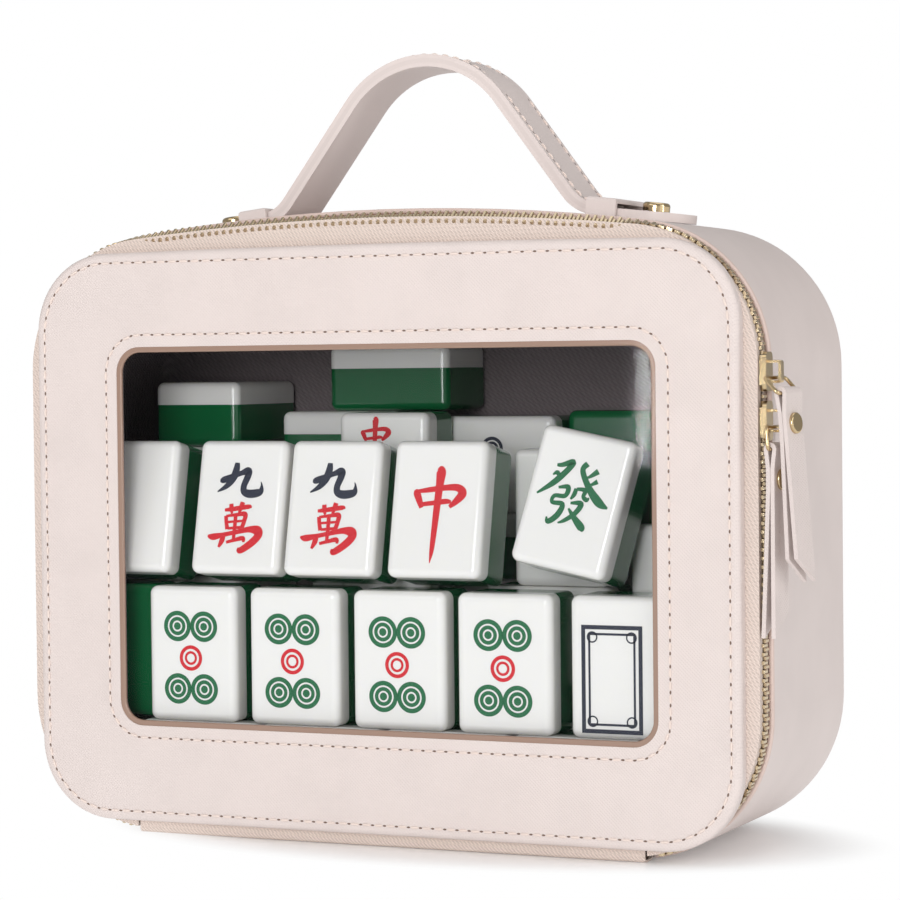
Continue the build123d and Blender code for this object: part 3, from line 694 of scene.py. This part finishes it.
class CASE_OT_zipper(bpy.types.Operator):
    """Finish the zipper and turn its top run towards the front"""

    bl_idname = "case.zipper"
    bl_label = "Zipper"

    def execute(self, context):
        f, zipper = context.scene.case_finish, context.scene.case_zipper
        wear(weave("zipper tape", tuple(f.tape), 0.55 * MM), "front_tape", "rear_tape", "hinge_strip")
        wear(metal("zipper teeth", tuple(f.teeth), 0.26), "front_teeth", "rear_teeth")
        wear(pale_gold(f), "upper_slider", "lower_slider", "upper_ring", "lower_ring")
        wear(pale_gold(f), "upper_pull_rivet", "lower_pull_rivet")
        wear(grained_leather(f), "upper_pull_tab", "lower_pull_tab")
        for node, body in (("front_teeth", "lid"), ("rear_teeth", "case")):
            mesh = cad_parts[node].data.copy()
            self.turn_top_run(mesh, zipper)
            obj = bpy.data.objects.new(node + "_tipped", mesh)
            context.collection.objects.link(obj)
            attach(obj, body)
            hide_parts(node)
        return {"FINISHED"}

    def turn_top_run(self, mesh, zipper):
        """Turns the teeth about the middle of the chain, fully along the top and less near the corners."""
        cells = {}
        for v in mesh.vertices:
            if v.co.z > zipper.lowest:
                cells.setdefault(round(v.co.x / zipper.cell), []).append(v.co.z)
        level = {k: sum(heights) / len(heights) for k, heights in cells.items()}
        for v in mesh.vertices:
            share = min(1.0, max(0.0, (zipper.end - abs(v.co.x)) / zipper.fade))
            if v.co.z < zipper.lowest or share == 0.0:
                continue
            k = math.floor(v.co.x / zipper.cell)
            t = v.co.x / zipper.cell - k
            height = level[k] * (1 - t) + level.get(k + 1, level[k]) * t
            turn, size = zipper.tip * share, 1 + zipper.swell * share
            dy, dz = (v.co.y - zipper.row) * size, (v.co.z - height) * size
            v.co.y = zipper.row - zipper.forward * share + dy * math.cos(turn) - dz * math.sin(turn)
            v.co.z = height - zipper.drop * share + dz * math.cos(turn) + dy * math.sin(turn)


class CASE_OT_stitching(bpy.types.Operator):
    """Sew the seams of the lid and the handle"""

    bl_idname = "case.stitching"
    bl_label = "Stitching"

    def execute(self, context):
        s = context.scene.case_stitching
        thread = plain("thread", (0.76, 0.64, 0.58), 0.7)
        # Dark colour of the needle-hole discs: painted shade inside the holes
        hole = plain("needle hole", (0.17, 0.11, 0.085), 0.9)
        low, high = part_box("panel_skin")
        cx, cz = (low.x + high.x) / 2, (low.z + high.z) / 2
        width, height = high.x - low.x, high.z - low.z

        def ahead(_):
            return (0, -1, 0)

        corner = PANEL_CORNER - s.edge_inset
        loop = rounded_loop(cx, cz, width - 2 * s.edge_inset, height - 2 * s.edge_inset, corner)
        edge = [(x, low.y, z - (PANEL_CROWN * (2 * x / width) ** 2 if z > cz else 0)) for x, z in loop]
        seam("edge_seam", edge, ahead, s.edge_pitch, "lid", thread, hole, s)
        grow = 2 * s.window_outset
        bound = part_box("window_binding")
        wx, wz = bound[1].x - bound[0].x + grow, bound[1].z - bound[0].z + grow
        mid = (bound[0].z + bound[1].z) / 2
        across = (bound[0].x + bound[1].x) / 2
        loop = rounded_loop(across, mid, wx, wz, WINDOW_CORNER + s.window_outset)
        seam("window_seam", [(x, low.y, z) for x, z in loop], ahead, s.window_pitch, "lid", thread, hole, s)
        self.strap(s, thread, hole)
        return {"FINISHED"}

    def strap(self, s, thread, hole):
        """Seams along both edges of the arched strap, taken from its upper surface."""
        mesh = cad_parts["handle_strap"].data
        low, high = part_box("handle_strap")
        hair, below, cells_per_radian = 0.01 * MM, 4.0 * MM, 60
        rim = [v.co for v in mesh.vertices if abs(v.co.y - high.y) < hair]
        top = {}
        for co in rim:
            a = math.atan2(co.z - low.z + below, co.x)
            key = round(a * cells_per_radian)
            reach = math.hypot(co.x, co.z - low.z)
            if key not in top or reach > top[key][0]:
                top[key] = (reach, a, co.copy())
        curve = [entry[2] for entry in sorted(top.values(), key=lambda e: -e[1])]
        if len(curve) < 6:
            raise RuntimeError("the strap's edge wasn't found")

        def out(p):
            inner = range(1, len(curve) - 1)
            best = min(inner, key=lambda i: (curve[i].x - p.x) ** 2 + (curve[i].z - p.z) ** 2)
            d = curve[best + 1] - curve[best - 1]
            return (-d.z, 0, d.x)

        edges = (("strap_seam_back", high.y - s.strap_inset), ("strap_seam_front", low.y + s.strap_inset))
        for name, y in edges:
            line = [(c.x, y, c.z) for c in curve]
            seam(name, line, out, s.strap_pitch, "case", thread, hole, s)


class CASE_OT_tiles(bpy.types.Operator):
    """Finish the tiles and ink the faces that show"""

    bl_idname = "case.tiles"
    bl_label = "Tiles"

    def execute(self, context):
        f = context.scene.case_finish
        wear(plastic("tile face", tuple(f.tile_face), 0.16, 0.15), "tile_faces")
        wear(plastic("tile back", tuple(f.tile_back), 0.16), "tile_backs")
        green = plain("green ink", (0.006, 0.13, 0.045), 0.35)
        red = plain("red ink", (0.62, 0.008, 0.018), 0.35)
        navy = plain("dark ink", (0.012, 0.016, 0.035), 0.35)
        lower = FLOOR_ROW + ON_EDGE
        upper = lower + UPRIGHT
        places = ((-4.3, 7.6), (3.9, 7.6), (-4.3, -9.6), (3.9, -9.6))
        for k, x in enumerate(DOTS_AT):
            face = standing(x, FRONT_FILE, lower)
            dots = [band for u, v in places for band in dot(u, v, 4.2)]
            printed(f"five_dots_{k}", dots, face, green)
            printed(f"five_centre_{k}", [ring(-0.2, -1.1, 3.5, 2.5), ring(-0.2, -1.1, 1.9, 1.2)], face, red)
        face = standing(BLANK_AT, FRONT_FILE, lower) @ Matrix.Translation((-1.8 * MM, 0, -3.0 * MM))
        corners = [ring(sx * 5.4, sz * 10.9, 1.5, 1.1, 20) for sx in (-1, 1) for sz in (-1, 1)]
        frames = [frame_mark(16.8, 28.0, 1.1), frame_mark(13.0, 24.0, 0.6)]
        printed("blank_frame", [*frames, *corners], face, navy)
        for k, x in enumerate(NINES_AT):
            face = leaning(x, upper)
            printed(f"nine_{k}", [ribbon(moved(NINE, 1.08, -0.3, 4.6, 1.45))], face, navy)
            printed(f"myriad_{k}", [ribbon(moved(MYRIAD, 0.98, -0.4, -7.6, 1.45))], face, red)
        face = leaning(CENTRE_AT, upper)
        printed("centre_mark", [ribbon(moved(CENTRE, 0.93, -1.0, -0.6, 1.4))], face, red)
        turn = math.radians(DRAGON_TURN)
        lift = TILE_WIDTH / 2 * math.sin(turn) - TILE_HEIGHT / 2 * (1 - math.cos(turn))
        face = leaning(PROSPER_AT, upper + lift, DRAGON_TURN)
        printed("prosper_mark", [ribbon(moved(PROSPER, 0.98, -0.8, -0.9, 1.4))], face, green)
        face = standing(CENTRE_BACK_AT, MIDDLE_FILE, FLOOR_ROW + 2 * UPRIGHT)
        printed("centre_mark_back", [ribbon(moved(CENTRE, 0.55, -3.1, 10.3, 1.6))], face, red)
        high = FLOOR_ROW + UPRIGHT + ON_EDGE + LAID
        face = sideways(CIRCLE_BACK_AT, MIDDLE_FILE + LAID, high)
        printed("circle_back", dot(0, 4.5, 3.3), face, navy)
        face = sideways(CIRCLE_RIGHT_AT, MIDDLE_FILE, FLOOR_ROW + 2 * ON_EDGE)
        printed("circle_right", dot(0, 0, 3.3), face, navy)
        return {"FINISHED"}


def area_light(name, at, aim, size, power):
    """Soft white rectangular light that points at a place."""
    data = bpy.data.lights.new(name, "AREA")
    data.shape = "RECTANGLE"
    data.size, data.size_y = size
    data.energy = power
    obj = bpy.data.objects.new(name, data)
    obj.location = at
    obj.rotation_euler = (Vector(aim) - Vector(at)).to_track_quat("-Z", "Y").to_euler()
    bpy.context.collection.objects.link(obj)
    return obj


class CASE_OT_stage(bpy.types.Operator):
    """Set up the floor, the light and the camera"""

    bl_idname = "case.stage"
    bl_label = "Studio"

    def execute(self, context):
        studio = context.scene.case_studio
        self.floor()
        self.lamps(studio)
        context.scene.world = self.backdrop(studio)
        context.scene.camera = self.camera(studio)
        context.scene.view_settings.view_transform = "Standard"
        context.scene.cycles.max_bounces = 10
        context.scene.cycles.transparent_max_bounces = 16
        return {"FINISHED"}

    def floor(self):
        """Pale floor that shades only near the case and fades to white round it."""
        pale = Shader("pale floor", (0.93, 0.93, 0.93), 0.3)
        pale.feed("Emission Color", (1, 1, 1, 1))
        pale.feed("Emission Strength", 0.1)
        x, y, _ = pale.place()
        middle, squeeze, near, gone = 0.015, 1.8, 0.0062, 0.0135
        far = ((x - middle) ** 2.0 + (y * squeeze) ** 2.0).clear(near, gone)
        white = pale.node("ShaderNodeEmission", None, {"Color": (1, 1, 1, 1), "Strength": 1.0})
        shaders = {0: far, 1: pale.surface.outputs[0], 2: white.outputs[0]}
        pale.finish(pale.node("ShaderNodeMixShader", None, shaders).outputs[0])
        mesh = bpy.data.meshes.new("floor")
        mesh.from_pydata([(-4, -4, 0), (4, -4, 0), (4, 4, 0), (-4, 4, 0)], [], [(0, 1, 2, 3)])
        mesh.materials.append(pale.material)
        ground = bpy.data.objects.new("floor", mesh)
        bpy.context.collection.objects.link(ground)
        return ground

    def lamps(self, studio):
        """Soft lights round the case, and two narrow ones for the metal and the film."""
        middle, film = (0, 0, 0.09), (0.077, -0.038, 0.117)
        return [
            area_light("key", (-0.55, -1.0, 0.85), middle, (0.7, 0.7), studio.key),
            area_light("front", (0.15, -1.3, 0.3), middle, (0.5, 0.5), studio.front),
            area_light("fill", (1.1, -0.45, 0.5), middle, (0.6, 0.9), studio.fill),
            area_light("top", (0.1, 0.25, 1.2), middle, (1.0, 0.8), studio.top),
            area_light("glint", (0.95, -0.15, 0.35), (0.1, -0.04, 0.1), (0.12, 0.8), studio.glint),
            area_light("strip", (-0.310, -1.093, 0.102), film, (0.005, 0.075), studio.strip),
        ]

    def backdrop(self, studio):
        """White to the camera, dimmer as light."""
        world = bpy.data.worlds.new("studio")
        world.use_nodes = True
        graph = Graph(world.node_tree)
        sky = graph.tree.nodes["Background"]
        graph.put(sky.inputs["Color"], (1, 1, 1, 1))
        graph.put(sky.inputs["Strength"], studio.sky)
        white = graph.node("ShaderNodeBackground", None, {"Color": (1, 1, 1, 1), "Strength": 1.0})
        seen = graph.node("ShaderNodeLightPath").outputs["Is Camera Ray"]
        shaders = {0: seen, 1: sky.outputs[0], 2: white.outputs[0]}
        mix = graph.node("ShaderNodeMixShader", None, shaders)
        graph.put(graph.tree.nodes["World Output"].inputs[0], mix.outputs[0])
        return world

    def camera(self, studio):
        """Camera that looks at the lid from the right, a little above the table."""
        data = bpy.data.cameras.new("camera")
        data.lens = studio.lens
        data.sensor_width = 36
        data.clip_start = 0.02
        camera = bpy.data.objects.new("camera", data)
        eye, target = Vector(studio.eye), Vector(studio.target)
        look = (target - eye).to_track_quat("-Z", "Y").to_matrix().to_4x4()
        roll = Matrix.Rotation(studio.roll, 4, "Z")
        camera.matrix_world = Matrix.Translation(eye) @ look @ roll
        bpy.context.collection.objects.link(camera)
        return camera


class CASE_PT_panel(bpy.types.Panel):
    """Operators of the case, in order"""

    bl_label = "Mahjong case"
    bl_space_type = "VIEW_3D"
    bl_region_type = "UI"
    bl_category = "Case"

    def draw(self, context):
        for step in STEPS:
            self.layout.operator(step.bl_idname)


STEPS = (
    CASE_OT_shell,
    CASE_OT_window,
    CASE_OT_handle,
    CASE_OT_zipper,
    CASE_OT_stitching,
    CASE_OT_tiles,
    CASE_OT_stage,
)
SETTINGS = {
    "case_finish": CaseFinish,
    "case_stitching": CaseStitching,
    "case_zipper": CaseZipper,
    "case_studio": CaseStudio,
}


def register():
    for kind in (*SETTINGS.values(), *STEPS, CASE_PT_panel):
        bpy.utils.register_class(kind)
    for name, kind in SETTINGS.items():
        setattr(bpy.types.Scene, name, bpy.props.PointerProperty(type=kind))


def unregister():
    for name in SETTINGS:
        delattr(bpy.types.Scene, name)
    for kind in (CASE_PT_panel, *reversed(STEPS), *SETTINGS.values()):
        bpy.utils.unregister_class(kind)


def main():
    register()
    bpy.ops.case.shell()
    bpy.ops.case.window()
    bpy.ops.case.handle()
    bpy.ops.case.zipper()
    bpy.ops.case.stitching()
    bpy.ops.case.tiles()
    bpy.ops.case.stage()


if __name__ == "__main__":
    main()
